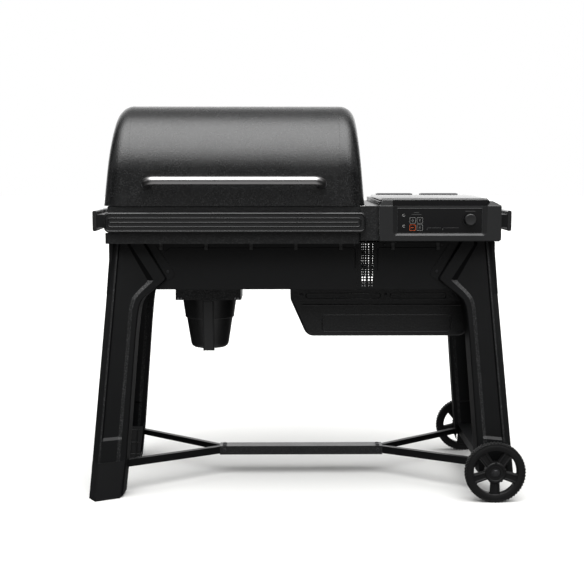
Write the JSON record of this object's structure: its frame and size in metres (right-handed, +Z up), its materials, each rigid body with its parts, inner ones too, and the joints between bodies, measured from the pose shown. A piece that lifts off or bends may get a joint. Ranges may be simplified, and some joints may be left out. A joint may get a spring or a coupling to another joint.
{
  "type": "pellet smoker grill",
  "caption": "Free-standing barrel pellet grill on four splayed legs with two wheels, a hinged lid, a side hopper with a control panel, an ash keg and an auger box.",
  "frame": {"origin": "on the floor, under the middle of the overall box", "axes": "+X to the cook's right, +Y to the back, +Z up"},
  "size_m": [1.2861, 0.658, 1.16],
  "materials": {
    "powder_coat_black": "fine textured satin powder coat",
    "textured_coat_black": "coarse textured powder coat",
    "handle_chrome": "dark satin steel",
    "rail_black": "smooth satin black",
    "plastic_black": "moulded matte plastic",
    "wheel_plastic": "moulded matte plastic",
    "display_glass": "gloss black window",
    "key_plastic": "gloss keys",
    "steel": "plain steel",
    "steel_dark": "heat-proof black steel",
    "iron_black": "porcelain coated",
    "motor_metal": "cast case"
  },
  "bodies": {
    "grill": {"barrel_tub": "textured_coat_black", "front_rail": "rail_black", "lower_band": "powder_coat_black", "side_rail_left": "plastic_black", "side_rail_right": "plastic_black", "apron_left": "powder_coat_black", "apron_right": "powder_coat_black", "apron_rear": "powder_coat_black", "tool_hooks": "powder_coat_black", "panel_screws": "steel_dark", "leg_front_left": "powder_coat_black", "leg_rear_left": "powder_coat_black", "leg_front_right": "powder_coat_black", "leg_rear_right": "powder_coat_black", "foot_front_left": "plastic_black", "foot_rear_left": "plastic_black", "stretcher_bar": "textured_coat_black", "stretcher_arms": "powder_coat_black", "frame_bolts": "steel_dark", "axle_beam": "powder_coat_black", "axle_rod": "steel", "keg_bracket": "textured_coat_black", "hopper_casing": "textured_coat_black", "hopper_bin": "steel_dark", "fascia": "textured_coat_black", "control_bezel": "plastic_black", "display_window": "display_glass", "power_inlet": "plastic_black", "auger_cover": "textured_coat_black", "auger_tube": "steel", "auger_motor": "motor_metal", "fan_housing": "steel_dark", "fire_pot": "steel", "hot_rod": "steel", "heat_baffle": "steel_dark", "grease_tray": "steel_dark", "grill_grates": "iron_black", "upper_rack": "iron_black", "temperature_probe": "steel", "hinge_brackets": "steel_dark", "hinge_pins": "steel", "exhaust_duct": "steel_dark"},
    "lid": {"lid_shell": "powder_coat_black", "lid_end_left": "textured_coat_black", "lid_end_right": "textured_coat_black", "lid_handle": "handle_chrome", "lid_hinge_leaves": "steel_dark"},
    "hopper_lid": {"hopper_lid": "powder_coat_black"},
    "encoder": {"encoder_shaft": "steel"},
    "dial": {"dial_knob": "key_plastic"},
    "key_ul": {"key_upper_left": "key_plastic"},
    "key_ur": {"key_upper_right": "key_plastic"},
    "key_ll": {"key_lower_left": "key_plastic"},
    "key_lr": {"key_lower_right": "key_plastic"},
    "front_wheel": {"wheel_front": "wheel_plastic"},
    "rear_wheel": {"wheel_rear": "wheel_plastic"},
    "keg": {"ash_keg": "textured_coat_black", "keg_handle": "powder_coat_black"},
    "auger": {"auger_screw": "steel"},
    "impeller": {"fan_impeller": "plastic_black"}
  },
  "joints": [
    {"name": "lid_hinge", "type": "hinge", "parent": "grill", "child": "lid", "pos_m": [-0.207, 0.25, 0.868], "axis": [-1, 0, 0], "range_deg": [0, 80]},
    {"name": "hopper_lid_hinge", "type": "hinge", "parent": "grill", "child": "hopper_lid", "pos_m": [0.3765, 0.166, 0.886], "axis": [-1, 0, 0], "range_deg": [0, 100]},
    {"name": "encoder_press", "type": "slide", "parent": "grill", "child": "encoder", "axis": [0, 1, 0], "range_m": [0, 0.0006], "stiffness_N_per_m": 1500},
    {"name": "dial_turn", "type": "hinge", "parent": "encoder", "child": "dial", "pos_m": [0.472, -0.296, 0.8275], "axis": [0, 1, 0], "continuous": true},
    {"name": "key_ul_press", "type": "slide", "parent": "grill", "child": "key_ul", "axis": [0, 1, 0], "range_m": [0, 0.0008], "stiffness_N_per_m": 800},
    {"name": "key_ur_press", "type": "slide", "parent": "grill", "child": "key_ur", "axis": [0, 1, 0], "range_m": [0, 0.0008], "stiffness_N_per_m": 800},
    {"name": "key_ll_press", "type": "slide", "parent": "grill", "child": "key_ll", "axis": [0, 1, 0], "range_m": [0, 0.0008], "stiffness_N_per_m": 800},
    {"name": "key_lr_press", "type": "slide", "parent": "grill", "child": "key_lr", "axis": [0, 1, 0], "range_m": [0, 0.0008], "stiffness_N_per_m": 800},
    {"name": "front_wheel_spin", "type": "hinge", "parent": "grill", "child": "front_wheel", "pos_m": [0.554, -0.315, 0.089], "axis": [0, 1, 0], "continuous": true},
    {"name": "rear_wheel_spin", "type": "hinge", "parent": "grill", "child": "rear_wheel", "pos_m": [0.554, 0.315, 0.089], "axis": [0, 1, 0], "continuous": true},
    {"name": "keg_slide", "type": "slide", "parent": "grill", "child": "keg", "axis": [0, -1, 0], "range_m": [0, 0.18]},
    {"name": "auger_turn", "type": "hinge", "parent": "grill", "child": "auger", "pos_m": [0.25, 0, 0.58], "axis": [1, 0, 0], "continuous": true},
    {"name": "impeller_spin", "type": "hinge", "parent": "grill", "child": "impeller", "pos_m": [0.225, -0.02, 0.508], "axis": [0, 1, 0], "continuous": true}
  ]
}
